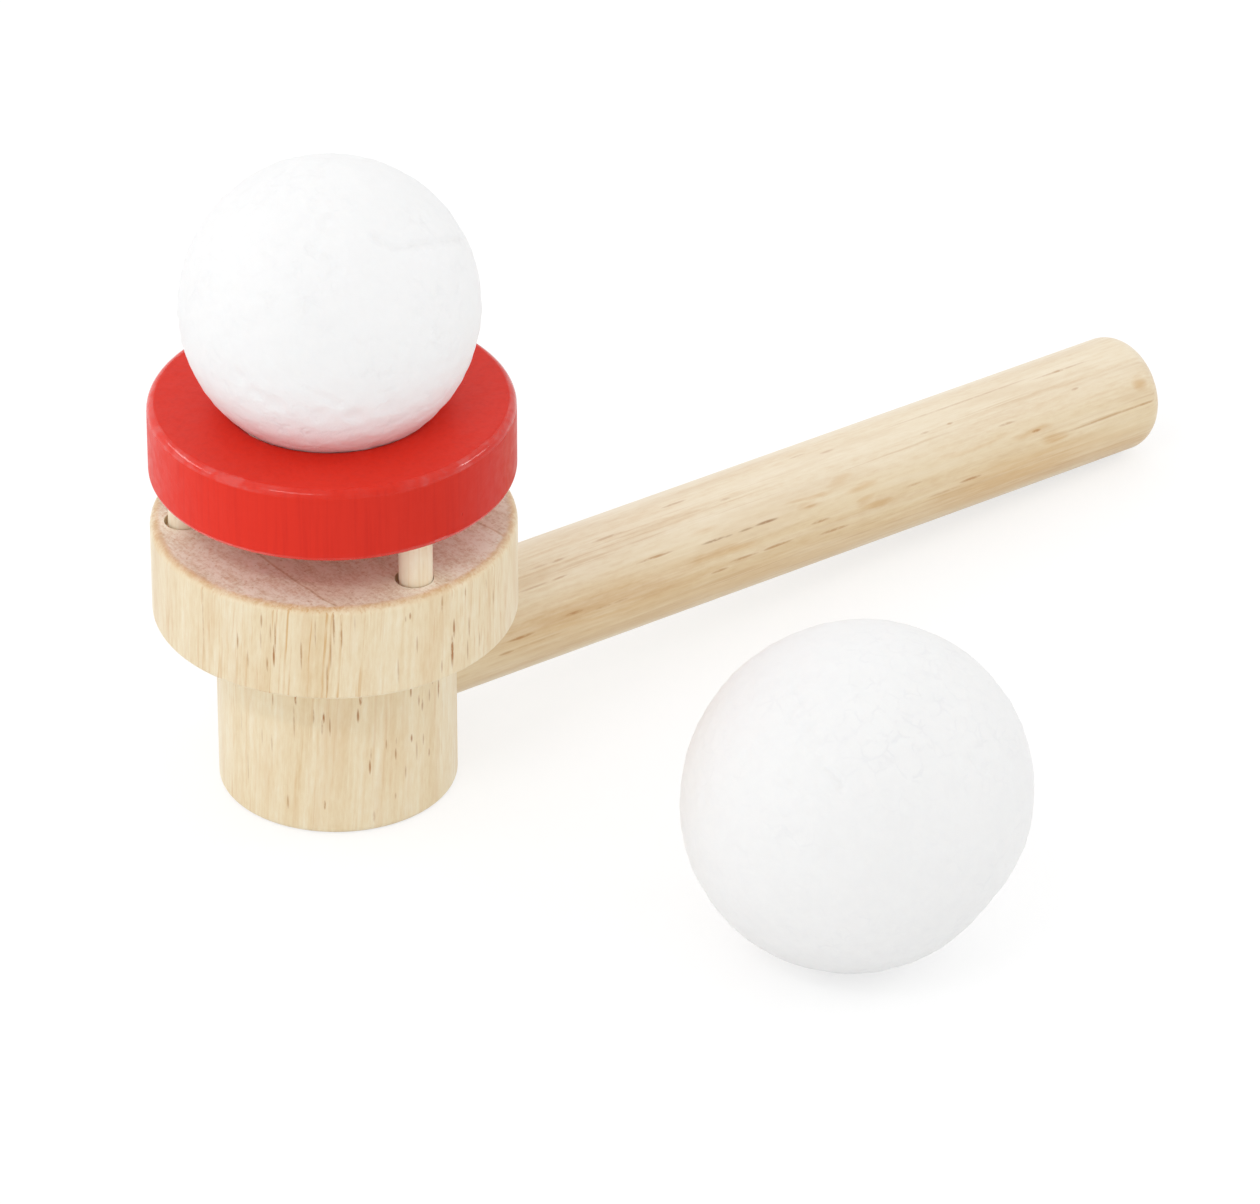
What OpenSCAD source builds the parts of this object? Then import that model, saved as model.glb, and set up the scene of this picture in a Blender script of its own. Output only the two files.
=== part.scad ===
// Wooden blow pipe with a floating foam ball and a spare foam ball.
// Millimetres, +Z up. The origin is the middle of the foot's underside, +X runs along the pipe.

/* [Head] */
// Diameter of the foot
foot_d = 29.9; // [26:0.1:36]
// Height of the foot below the disc
foot_h = 24.55; // [24:0.05:32]
// Rounding of the foot's bottom edge
foot_round = 0.8; // [0.2:0.1:1.4]
// Diameter of the disc
disc_d = 45.4; // [43:0.1:54]
// Thickness of the disc
disc_t = 12.9; // [11:0.1:18]
// Rounding of the disc's top edge
disc_top_round = 1.0; // [0.4:0.1:1.4]
// Rounding of the disc's bottom edge
disc_bottom_round = 0.6; // [0.2:0.1:1.2]
// Diameter of the air nozzle in the middle of the disc
nozzle_d = 6.4; // [4.5:0.1:8]
// Width of the nozzle's chamfered rim
nozzle_rim = 0.4; // [0.1:0.1:0.8]
// Diameter of the air chamber behind the pipe
chamber_d = 10; // [8:0.1:12]
// How far the air chamber reaches past the head's axis
chamber_past = 4.6; // [4:0.1:7]

/* [Pipe] */
// Outer diameter of the pipe
pipe_d = 15.3; // [13:0.1:16]
// Diameter of the pipe's bore
pipe_bore_d = 6; // [4.5:0.1:8]
// Distance from the head's axis to the pipe's mouth end, along the pipe
pipe_reach = 131.7; // [90:0.1:180]
// Height of the pipe's axis where it crosses the head's axis
pipe_height = 14.46; // [13:0.02:15.5]
// Distance from the head's axis to the pipe's inner end
pipe_stop = 4.6; // [4:0.1:7]
// Rounding of the pipe's mouth end
pipe_mouth_round = 3.2; // [1:0.1:3.4]
// Width of the bore's chamfer at the mouth end
pipe_bore_rim = 0.4; // [0.1:0.1:0.6]

/* [Ring] */
// How far the ring's side lies inside the disc's side
ring_inset = 0; // [0:0.05:1.5]
// Thickness of the ring
ring_t = 9.95; // [8:0.05:14]
// Height of the open gap between the disc and the ring
ring_gap = 6.7; // [5:0.1:12]
// Diameter of the ring's hole
ring_hole_d = 25.2; // [22:0.1:28]
// Rounding of the ring's top outer edge
ring_top_round = 1.15; // [0.4:0.05:1.4]
// Rounding of the ring's bottom outer edge
ring_bottom_round = 0.9; // [0.4:0.1:1.4]
// Rounding of both edges of the ring's hole
ring_hole_round = 1.0; // [0.5:0.1:1.5]

/* [Pins] */
// Diameter of the three pins
pin_d = 4.2; // [3:0.1:5]
// Distance of the pins' middles from the disc's side
pin_inset = 4.35; // [3.7:0.05:4.6]
// Bearing of the pin nearest the pipe, from +X
pin_bearing = 26; // [0:1:40]
// Depth of the pins in the disc
pin_disc_depth = 7.5; // [4:0.1:9]
// Depth of the pins in the ring
pin_ring_depth = 5; // [3:0.1:6.5]
// Chamfer on the ends of the pins
pin_chamfer = 0.4; // [0.1:0.1:0.8]
// Extra radius of the widened mouth of each pin hole in the disc
pin_relief = 0.3; // [0.1:0.05:0.6]
// Depth of that widened mouth
pin_relief_depth = 1.2; // [0.4:0.1:3]
// How far off the pin's middle the widened mouth was drilled
pin_relief_off = 0.2; // [0:0.05:0.3]
// Bearing of that offset, from +X
pin_relief_bearing = 141; // [0:1:359]

/* [Balls] */
// Diameter of the ball on the ring
ball_d = 37; // [31:0.1:50]
// Diameter of the spare ball
spare_ball_d = 42.5; // [31:0.1:50]
// Distance of the spare ball from the head along the pipe
spare_ball_x = 25.6; // [-60:0.1:120]
// Distance of the spare ball from the pipe, out to its side
spare_ball_side = 70.4; // [56:0.1:140]

/* [Fits] */
// Radial glue gap between a pin and its hole
pin_fit = 0.05; // [0.01:0.01:0.1]
// Radial glue gap between the pipe and its socket
pipe_fit = 0.05; // [0.01:0.01:0.1]
// Air gap between the resting ball and the rounded edge of the ring's hole
ball_gap = 0.1; // [0.05:0.05:0.5]

/* [Hidden] */

$fn = 96;
over = 1;
wood = [0.93, 0.86, 0.71];
dowel = [0.90, 0.80, 0.62];
red = [0.84, 0.20, 0.16];
foam = [0.96, 0.96, 0.95];

disc_top = foot_h + disc_t;
ring_r = disc_d / 2 - ring_inset;
pin_circle_r = disc_d / 2 - pin_inset;
ring_bottom = disc_top + ring_gap;
ring_top = ring_bottom + ring_t;
pin_bottom = disc_top - pin_disc_depth;
pin_length = pin_disc_depth + ring_gap + pin_ring_depth;

// the pipe leans until the rounding of its mouth end meets the table
mouth_run = pipe_reach - pipe_mouth_round;
mouth_rise = pipe_d / 2 - pipe_mouth_round;
pipe_slope = asin((pipe_height - pipe_mouth_round) / norm([mouth_run, mouth_rise]))
    - atan2(mouth_rise, mouth_run);

// the ball's middle, one gap clear of the rounded edge of the ring's hole
edge_r = ring_hole_d / 2 + ring_hole_round;
ball_reach = ball_d / 2 + ball_gap + ring_hole_round;
ball_height = ring_top - ring_hole_round + sqrt(ball_reach * ball_reach - edge_r * edge_r);

// a corner to cut from a profile, round inside, its centre at the origin
module corner(r) {
    difference() {
        square(r + over);
        circle(r = r);
    }
}

// half section of a turned disc that stands on the X axis
module turned(r, h, bottom_round, top_round) {
    difference() {
        square([r, h]);
        translate([r - top_round, h - top_round]) corner(top_round);
        translate([r - bottom_round, bottom_round]) mirror([0, 1]) corner(bottom_round);
    }
}

// turns a shape from the head's axis to lie along the pipe
module along_pipe() {
    translate([0, 0, pipe_height]) rotate([0, 90 + pipe_slope, 0]) children();
}

// places a shape at a pin, turn counted in thirds from the pin nearest the pipe
module at_pin(turn) {
    bearing = pin_bearing + 120 * turn;
    translate([pin_circle_r * cos(bearing), pin_circle_r * sin(bearing), 0]) children();
}

module head() {
    color(wood) difference() {
        rotate_extrude() union() {
            turned(foot_d / 2, foot_h + over, foot_round, foot_round);
            translate([0, foot_h]) turned(disc_d / 2, disc_t, disc_bottom_round, disc_top_round);
        }
        // socket of the pipe, its shoulder and the air chamber behind it
        along_pipe() translate([0, 0, pipe_stop]) cylinder(r = pipe_d / 2 + pipe_fit, h = foot_d);
        along_pipe() translate([0, 0, -chamber_past])
            cylinder(d = chamber_d, h = chamber_past + pipe_stop + over);
        // air duct up to the nozzle
        translate([0, 0, pipe_height]) cylinder(d = nozzle_d, h = disc_top - pipe_height + over);
        translate([0, 0, disc_top - nozzle_rim])
            cylinder(r1 = nozzle_d / 2, r2 = nozzle_d / 2 + nozzle_rim + over, h = nozzle_rim + over);
        for (turn = [0:2]) at_pin(turn) {
            translate([0, 0, pin_bottom]) cylinder(r = pin_d / 2 + pin_fit, h = pin_disc_depth + over);
            rotate([0, 0, pin_relief_bearing]) translate([pin_relief_off, 0, disc_top - pin_relief_depth])
                cylinder(r = pin_d / 2 + pin_relief, h = pin_relief_depth + over);
        }
    }
}

module pipe() {
    color(dowel) along_pipe() translate([0, 0, pipe_stop]) rotate_extrude() difference() {
        turned(pipe_d / 2, pipe_reach - pipe_stop, 0.3, pipe_mouth_round);
        translate([0, -over]) square([pipe_bore_d / 2, pipe_reach + 2 * over]);
        translate([0, pipe_reach - pipe_stop - pipe_bore_rim]) polygon([
            [0, 0],
            [pipe_bore_d / 2, 0],
            [pipe_bore_d / 2 + pipe_bore_rim + over, pipe_bore_rim + over],
            [0, pipe_bore_rim + over]
        ]);
    }
}

module ring() {
    color(red) difference() {
        translate([0, 0, ring_bottom]) rotate_extrude() difference() {
            turned(ring_r, ring_t, ring_bottom_round, ring_top_round);
            translate([0, -over]) square([ring_hole_d / 2, ring_t + 2 * over]);
            translate([edge_r, ring_t - ring_hole_round]) mirror([1, 0]) corner(ring_hole_round);
            translate([edge_r, ring_hole_round]) rotate(180) corner(ring_hole_round);
        }
        for (turn = [0:2]) at_pin(turn)
            translate([0, 0, ring_bottom - over])
                cylinder(r = pin_d / 2 + pin_fit, h = pin_ring_depth + over);
    }
}

module pin(turn) {
    color(dowel) at_pin(turn) translate([0, 0, pin_bottom]) rotate_extrude() polygon([
        [0, 0],
        [pin_d / 2 - pin_chamfer, 0],
        [pin_d / 2, pin_chamfer],
        [pin_d / 2, pin_length - pin_chamfer],
        [pin_d / 2 - pin_chamfer, pin_length],
        [0, pin_length]
    ]);
}

module pipe_pin() pin(0);
module side_pin() pin(1);
module front_pin() pin(2);

module ball() {
    color(foam) translate([0, 0, ball_height]) sphere(d = ball_d);
}

module spare_ball() {
    color(foam) translate([spare_ball_x, -spare_ball_side, spare_ball_d / 2]) sphere(d = spare_ball_d);
}

head();
pipe();
ring();
pipe_pin();
side_pin();
front_pin();
ball();
spare_ball();
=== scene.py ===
"""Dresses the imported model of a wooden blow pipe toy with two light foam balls.

The turned head, the pipe, the ring and its pins keep their exact solids and get wood and paint
finishes. The two foam balls are modelled here, because their dents and beads are too fine for the
solids. Everything is in metres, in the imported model's own frame, and the finishes count in
millimetres from the same origin.
"""

import logging
import math
from dataclasses import dataclass, field
from enum import Enum
from typing import Any

import bpy
from mathutils import Matrix, Vector
from mathutils.kdtree import KDTree


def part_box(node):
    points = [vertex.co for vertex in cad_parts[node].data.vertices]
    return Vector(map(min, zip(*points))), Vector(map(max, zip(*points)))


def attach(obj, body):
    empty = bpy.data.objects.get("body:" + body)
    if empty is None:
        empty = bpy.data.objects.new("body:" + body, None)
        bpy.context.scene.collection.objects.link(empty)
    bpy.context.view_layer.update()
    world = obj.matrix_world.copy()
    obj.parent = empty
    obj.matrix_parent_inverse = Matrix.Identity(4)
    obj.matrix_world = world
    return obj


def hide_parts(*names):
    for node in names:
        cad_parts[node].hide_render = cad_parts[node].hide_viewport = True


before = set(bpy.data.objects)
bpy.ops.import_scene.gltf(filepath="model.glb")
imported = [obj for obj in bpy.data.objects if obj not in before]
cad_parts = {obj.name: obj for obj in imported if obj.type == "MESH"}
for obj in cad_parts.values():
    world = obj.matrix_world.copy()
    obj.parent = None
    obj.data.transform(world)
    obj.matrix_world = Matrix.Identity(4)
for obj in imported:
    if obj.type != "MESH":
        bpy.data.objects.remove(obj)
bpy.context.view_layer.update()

LOG = logging.getLogger("blow_pipe_toy")
MM = 0.001
Colour = tuple[float, float, float]
Place = tuple[float, float, float]

# sizes that the finishes share with the solids, in millimetres and degrees
DISC_RADIUS = 22.7
FOOT_RADIUS = 14.95
DISC_TOP = 37.45
PIPE_RADIUS = 7.65
PIPE_HEIGHT = 14.46
PIPE_SLOPE = 3.04

# ways from the head's axis, seen from above
FAR_SIDE = (0.62, 0.78, 0.0)
SPARE_SIDE = (0.78, -0.62, 0.0)


def linear(red: int, green: int, blue: int) -> Colour:
    """Turns a display colour of 0 to 255 into scene linear values.

    Args:
        red: Red, 0 to 255.
        green: Green, 0 to 255.
        blue: Blue, 0 to 255.

    Returns:
        The colour as the shader's sockets take it.
    """
    def one(value: int) -> float:
        """Gives one channel's linear value."""
        share = value / 255
        return share / 12.92 if share <= 0.04045 else ((share + 0.055) / 1.055) ** 2.4

    return one(red), one(green), one(blue)


class Grain(Enum):
    """Which way the wood fibres of a piece run."""

    UPRIGHT = "along the head's axis"
    ALONG_PIPE = "along the leaning pipe"


class Blend(Enum):
    """How the colour of a mark meets the wood's."""

    COVER = "MIX"
    # Multiplies the wood's colour: used for real stains and for painted shade on the pipe's lower side.
    STAIN_AND_SHADE = "MULTIPLY"


@dataclass(frozen=True)
class Mark:
    """One mark on a round piece that runs with the fibres.

    Attributes:
        turn: Bearing of its middle round the piece, in degrees.
        along: Place of its middle along the fibres, in millimetres.
        length: Length in millimetres.
        width: Width in millimetres, fading out at both edges.
        strength: How far its middle covers the wood, 0 to 1.
    """

    turn: float
    along: float
    length: float
    width: float
    strength: float


@dataclass(frozen=True)
class MarkSet:
    """Marks of one colour on one cylinder.

    Attributes:
        radius: Radius of the cylinder in millimetres.
        colour: Colour of the marks.
        marks: The marks.
        start: Bearing in the finish's own place where the marks' turn is 0, in degrees.
        blend: How the marks' colour meets the wood's.
    """

    radius: float
    colour: Colour
    marks: tuple[Mark, ...]
    start: float = 0.0
    blend: Blend = Blend.COVER


class Graph:
    """A material's node tree, with a short way to write each node that the finishes use."""

    def __init__(self, name: str) -> None:
        """Starts an empty tree.

        Args:
            name: Name of the new material.
        """
        self.material = bpy.data.materials.new(name)
        self.material.use_nodes = True
        self.tree = self.material.node_tree
        self.tree.nodes.clear()
        self.tree_x = 0

    def add(self, kind: str, inputs: dict[Any, Any] | None = None, **settings: Any) -> bpy.types.Node:
        """Adds one node.

        Args:
            kind: Blender's type name, without its ShaderNode prefix.
            inputs: Socket name or index to a value or to another node's output.
            settings: Properties of the node itself.

        Returns:
            The new node.
        """
        node = self.tree.nodes.new("ShaderNode" + kind)
        node.location = (self.tree_x, 0)
        self.tree_x += 180
        for key, value in settings.items():
            setattr(node, key, value)
        for key, value in (inputs or {}).items():
            socket = node.inputs[key]
            if isinstance(value, bpy.types.NodeSocket):
                self.tree.links.new(value, socket)
            elif isinstance(value, tuple) and len(value) == 3 and socket.type == "RGBA":
                socket.default_value = (*value, 1.0)
            else:
                socket.default_value = value
        return node

    def math(self, operation: str, first: Any, second: Any = 0.0) -> Any:
        """Adds a Math node and returns its output."""
        return self.add("Math", {0: first, 1: second}, operation=operation).outputs[0]

    def product(self, *values: Any) -> Any:
        """Multiplies values.

        Args:
            values: The values.

        Returns:
            Their product.
        """
        result = values[0]
        for value in values[1:]:
            result = self.math("MULTIPLY", result, value)
        return result

    def smooth(self, value: Any, low: float, high: float, start: float = 0.0, end: float = 1.0) -> Any:
        """Maps a value to start below low and to end above high, with a soft step between them."""
        inputs = {"Value": value, 1: low, 2: high, 3: start, 4: end}
        return self.add("MapRange", inputs, interpolation_type="SMOOTHSTEP").outputs[0]

    def mix(self, share: Any, first: Any, second: Any, blend: str = "MIX") -> Any:
        """Mixes two colours and returns the result."""
        node = self.add("Mix", {0: share, 6: first, 7: second}, data_type="RGBA", blend_type=blend)
        return node.outputs[2]

    def ramp(self, value: Any, stops: list[tuple[float, Colour]]) -> Any:
        """Turns a value into a colour.

        Args:
            value: The value, 0 to 1.
            stops: Places from 0 to 1 with their colours, in order.

        Returns:
            The colour.
        """
        node = self.add("ValToRGB", {0: value})
        band = node.color_ramp
        while len(band.elements) < len(stops):
            band.elements.new(0.5)
        for element, (place, colour) in zip(band.elements, stops):
            element.position = place
            element.color = (*colour, 1.0)
        return node.outputs[0]

    def stretched(self, vector: Any, scale: Place, shift: Place = (0.0, 0.0, 0.0)) -> Any:
        """Scales a position along each axis, shifts it and returns it."""
        return self.add("Mapping", {"Vector": vector, "Scale": scale, "Location": shift}).outputs[0]

    def noise(self, vector: Any, scale: float = 1.0, detail: float = 3.0, rough: float = 0.55) -> Any:
        """Adds a Noise Texture and returns its value, about 0.5 on average."""
        inputs = {"Vector": vector, "Scale": scale, "Detail": detail, "Roughness": rough}
        return self.add("TexNoise", inputs).outputs[0]

    def wavy(self, vector: Any, scale: Place, reach: float) -> Any:
        """Moves a position about by a soft noise.

        Args:
            vector: The position.
            scale: How fine the noise is along each axis, per unit.
            reach: How far the position moves at most, about.

        Returns:
            The moved position.
        """
        bend = self.add("TexNoise", {"Vector": self.stretched(vector, scale), "Scale": 1.0, "Detail": 2.0})
        middle = (-0.5 * reach,) * 3
        shift = self.stretched(bend.outputs[1], (reach,) * 3, middle)
        return self.add("VectorMath", {0: vector, 1: shift}, operation="ADD").outputs[0]

    def cells(self, vector: Any, scale: float = 1.0, feature: str = "F1") -> bpy.types.Node:
        """Adds a Voronoi Texture and returns the node."""
        return self.add("TexVoronoi", {"Vector": vector, "Scale": scale}, feature=feature)

    def parts(self, vector: Any) -> tuple[Any, Any, Any]:
        """Splits a vector and returns its three parts."""
        node = self.add("SeparateXYZ", {0: vector})
        return node.outputs[0], node.outputs[1], node.outputs[2]

    def towards(self, vector: Any, way: Place) -> Any:
        """Gives how far a vector reaches along a way."""
        return self.add("VectorMath", {0: vector, 1: way}, operation="DOT_PRODUCT").outputs["Value"]

    def from_axis(self, place: Any) -> Any:
        """Gives the distance of a position from the line along its third part."""
        flat = self.stretched(place, (1.0, 1.0, 0.0))
        return self.add("VectorMath", {0: flat}, operation="LENGTH").outputs["Value"]

    def place(self, centre: Place = (0.0, 0.0, 0.0)) -> Any:
        """Gives the position on the piece.

        Args:
            centre: The point that it is counted from, in millimetres.

        Returns:
            The position in millimetres.
        """
        source = self.add("TexCoord").outputs["Object"]
        shift = tuple(-value for value in centre)
        return self.stretched(source, (1000.0, 1000.0, 1000.0), shift)

    def share_of(self, vector: Any, group: MarkSet) -> Any:
        """Gives how far a set of marks covers the surface.

        Args:
            vector: Position in millimetres, with the fibres along its third part.
            group: The marks.

        Returns:
            A value from 0, bare wood, to 1.
        """
        # the renderer takes nodes from the last made to the first, so a long chain is made from its end
        share = self.add("Clamp")
        taker = share.inputs["Value"]
        for mark in group.marks:
            turn = math.radians(mark.turn + group.start)
            middle = (group.radius * math.cos(turn), group.radius * math.sin(turn), mark.along)
            scale = (2 / mark.width, 2 / mark.width, 2 / mark.length)
            shift = tuple(-part * size for part, size in zip(middle, scale))
            most = self.add("Math", operation="MAXIMUM")
            cover = self.add("Math", {1: -mark.strength, 2: mark.strength}, operation="MULTIPLY_ADD")
            away = self.add("VectorMath", operation="DOT_PRODUCT")
            moved = self.stretched(vector, scale, shift)
            self.tree.links.new(most.outputs[0], taker)
            self.tree.links.new(cover.outputs[0], most.inputs[0])
            self.tree.links.new(away.outputs["Value"], cover.inputs[0])
            self.tree.links.new(moved, away.inputs[0])
            self.tree.links.new(moved, away.inputs[1])
            taker = most.inputs[1]
        taker.default_value = 0.0
        return share.outputs[0]

    def finish(self, surface: Any) -> bpy.types.Material:
        """Joins a shader to the output and returns the material."""
        self.add("OutputMaterial", {"Surface": surface})
        return self.material


@dataclass(frozen=True)
class Pores:
    """Short dark pore lines that are strewn over a piece and run with the grain.

    Attributes:
        across: How many cells of the pattern fit in a millimetre across the grain.
        along: How many fit in a millimetre along the grain.
        width: Half width of a pore, as a share of a cell.
        rare: Share of the cells that stay empty.
        colour: Colour of the pores.
        strength: How far a pore covers the wood, 0 to 1.
        front: How much of them the side with the placed marks gets, 0 to 1.
    """

    across: float
    along: float
    width: float
    rare: float
    colour: Colour
    strength: float
    front: float


@dataclass(frozen=True)
class WoodFinish:
    """Pale, fine sanded hardwood with short brown pores.

    Attributes:
        name: Name of the material.
        grain: Which way the fibres run.
        light: Palest streaks.
        middle: Common tone.
        dark: Tan streaks.
        line: Thin long lines in the grain.
        pores: Pores strewn over the piece.
        contrast: Strength of the streaks, 0 to 1.
        lean: How far the fibres lean from that way, as turns about each axis, in radians.
        lined: Places where the thin lines lie close together.
        marks: Sets of placed marks.
        end_light: Palest tone of the cut ends.
        end_dark: Darkest tone of the cut ends.
        end_late: Tint of the late wood and of the dots in the cut ends.
        end_radius: Distance from the axis at which the cut end gives way to a worn rim, in millimetres.
        rim: Tone of the worn rim between the top and the side.
        pith: Place of the tree's heart across the grain, in millimetres from the piece.
        ring_reach: Distance from the heart to one growth line, in millimetres.
        ring_step: Distance between growth lines, in millimetres.
    """

    name: str
    grain: Grain
    light: Colour
    middle: Colour
    dark: Colour
    line: Colour
    pores: Pores
    end_light: Colour
    end_dark: Colour
    end_late: Colour = linear(236, 219, 207)
    contrast: float = 1.0
    lean: Place = (0.0, 0.0, 0.0)
    lined: MarkSet | None = None
    marks: tuple[MarkSet, ...] = ()
    end_radius: float = 60.0
    rim: Colour | None = None
    pith: tuple[float, float] = (90.0, -9.0)
    ring_reach: float = 103.5
    ring_step: float = 26.0

    def material(self) -> bpy.types.Material:
        """Builds the node material.

        Returns:
            The material.
        """
        graph = Graph(self.name)
        place = self.fibres(graph)
        bent = graph.wavy(place, (0.3, 0.3, 0.06), 0.45)
        leaning = graph.add("Mapping", {"Vector": bent, "Rotation": self.lean}).outputs[0]
        colour, height = self.long_grain(graph, leaning)
        colour, height = self.pored(graph, bent, colour, height)
        broken = graph.smooth(graph.noise(graph.stretched(bent, (3.0, 3.0, 0.9))), 0.32, 0.5, 0.35, 1.0)
        blurred = graph.wavy(bent, (0.5, 0.5, 0.12), 2.2)
        streaky = graph.smooth(graph.noise(graph.stretched(bent, (1.3, 1.3, 0.07))), 0.3, 0.6, 0.6, 1.0)
        # The multiplied sets carry real stains and also painted shade on the pipe's lower side.
        for group in self.marks:
            if group.blend is Blend.COVER:
                share = graph.product(graph.share_of(bent, group), broken)
            else:
                share = graph.product(graph.share_of(blurred, group), streaky)
            colour = graph.mix(share, colour, group.colour, group.blend.value)
        end_colour, end_height = self.end_grain(graph, place)
        end = self.end_share(graph, place)
        if self.rim is not None:
            colour = graph.mix(self.rim_share(graph, place), colour, self.rim)
        colour = graph.mix(end, colour, end_colour)
        height = graph.add("Mix", {0: end, 2: height, 3: end_height}).outputs[0]
        bump = graph.add("Bump", {"Strength": 0.5, "Distance": 0.06 * MM, "Height": height})
        shader = graph.add("BsdfPrincipled", {
            "Base Color": colour, "Roughness": 0.5, "Specular IOR Level": 0.4,
            "Sheen Weight": 0.25, "Sheen Roughness": 0.4, "Normal": bump.outputs[0]})
        return graph.finish(shader.outputs[0])

    def along_fibres(self, graph: Graph, vector: Any) -> Any:
        """Turns a direction or a place so that the fibres run along its third part.

        Args:
            graph: The material's nodes.
            vector: The direction or the place.

        Returns:
            The turned direction or place.
        """
        if self.grain is Grain.UPRIGHT:
            return vector
        turn = (0.0, -math.radians(90 + PIPE_SLOPE), 0.0)
        return graph.add("Mapping", {"Vector": vector, "Rotation": turn}).outputs[0]

    def fibres(self, graph: Graph) -> Any:
        """Gives the position in millimetres, with the fibres along its third part."""
        height = PIPE_HEIGHT if self.grain is Grain.ALONG_PIPE else 0.0
        return self.along_fibres(graph, graph.place((0.0, 0.0, height)))

    def facing(self, graph: Graph) -> Any:
        """Gives 1 where the surface faces along the fibres, and 0 where it faces across them."""
        normal = self.along_fibres(graph, graph.add("NewGeometry").outputs["Normal"])
        return graph.math("ABSOLUTE", graph.parts(normal)[2])

    def end_share(self, graph: Graph, place: Any) -> Any:
        """Finds where the surface is cut across the fibres.

        Args:
            graph: The material's nodes.
            place: Position in millimetres, with the fibres along its third part.

        Returns:
            A value from 0, along the fibres, to 1, across them.
        """
        cut = graph.smooth(self.facing(graph), 0.86, 0.985)
        worn = graph.math("ADD", graph.from_axis(place), graph.noise(place, 1.4, 2.0))
        return graph.product(cut, graph.smooth(worn, self.end_radius, self.end_radius + 0.7, 1.0, 0.0))

    def rim_share(self, graph: Graph, place: Any) -> Any:
        """Finds the worn rim round the top.

        Args:
            graph: The material's nodes.
            place: Position in millimetres, with the fibres along its third part.

        Returns:
            How far the rim's tone covers the wood, 0 to 1.
        """
        facing = self.facing(graph)
        high = graph.smooth(graph.parts(place)[2], DISC_TOP - 1.0, DISC_TOP - 0.2)
        patch = graph.smooth(graph.noise(place, 1.3, 4.0, 0.75), 0.42, 0.6, 0.2, 1.0)
        return graph.product(high, graph.smooth(facing, 0.4, 0.85), patch, 0.75)

    def long_grain(self, graph: Graph, place: Any) -> tuple[Any, Any]:
        """Builds the streaks and thin lines of a surface along the fibres.

        Args:
            graph: The material's nodes.
            place: Position in millimetres, with the fibres along its third part.

        Returns:
            The colour and the height of the surface.
        """
        broad = graph.noise(graph.stretched(place, (0.22, 0.22, 0.012)), 1.0, 2.0, 0.5)
        fine = graph.noise(graph.stretched(place, (1.7, 1.7, 0.03)), 1.0, 3.0, 0.6)
        fleck = graph.noise(graph.stretched(place, (2.2, 2.2, 0.5)), 1.0, 4.0, 0.65)
        tone = graph.math("ADD", graph.product(broad, 0.4), graph.product(fine, 0.3))
        tone = graph.math("ADD", tone, graph.product(fleck, 0.3))
        tone = graph.math("ADD", graph.product(tone, self.contrast), 0.5 - 0.5 * self.contrast)
        colour = graph.ramp(tone, [(0.36, self.dark), (0.5, self.middle), (0.63, self.light)])
        thin = graph.noise(graph.stretched(place, (2.6, 2.6, 0.03), (7.0, 3.0, 1.0)), 1.0, 2.0, 0.5)
        zone = graph.smooth(graph.noise(graph.stretched(place, (0.3, 0.3, 0.01), (2.0, 9.0, 4.0))), 0.45, 0.6)
        zone = graph.product(zone, self.away(graph, place, 0.4))
        if self.lined is not None:
            zone = graph.math("MAXIMUM", zone, graph.share_of(place, self.lined))
        gap = graph.noise(graph.stretched(place, (1.0, 1.0, 0.12), (4.0, 4.0, 4.0)))
        gap = graph.smooth(gap, 0.4, 0.55, 0.3, 1.0)
        thin = graph.product(graph.smooth(thin, 0.54, 0.64), zone, gap, 0.85)
        warm = graph.noise(graph.stretched(place, (0.4, 0.4, 0.05), (8.0, 2.0, 5.0)), 1.0, 3.0, 0.6)
        colour = graph.mix(graph.product(graph.smooth(warm, 0.46, 0.68), 0.2), colour, self.line)
        return graph.mix(thin, colour, self.line), graph.product(fine, 0.3)

    def away(self, graph: Graph, place: Any, front: float) -> Any:
        """Gives the given share on the side with the placed marks, and 1 on the far side."""
        return graph.smooth(graph.towards(place, FAR_SIDE), -1.0, 4.0, front, 1.0)

    def pored(self, graph: Graph, place: Any, colour: Any, height: Any) -> tuple[Any, Any]:
        """Strews the pores over the grain.

        Args:
            graph: The material's nodes.
            place: Position in millimetres, with the fibres along its third part.
            colour: Colour so far.
            height: Height so far.

        Returns:
            The colour and the height with the pores in them.
        """
        layer = self.pores
        cells = graph.cells(graph.stretched(place, (layer.across, layer.across, layer.along)))
        near = graph.smooth(cells.outputs["Distance"], 0.0, layer.width, 1.0, 0.0)
        chosen = graph.smooth(graph.parts(cells.outputs["Color"])[0], layer.rare, layer.rare + 0.15)
        share = graph.product(near, chosen, self.away(graph, place, layer.front))
        colour = graph.mix(graph.product(share, layer.strength), colour, layer.colour)
        return colour, graph.math("SUBTRACT", height, graph.product(share, 0.6))

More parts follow.
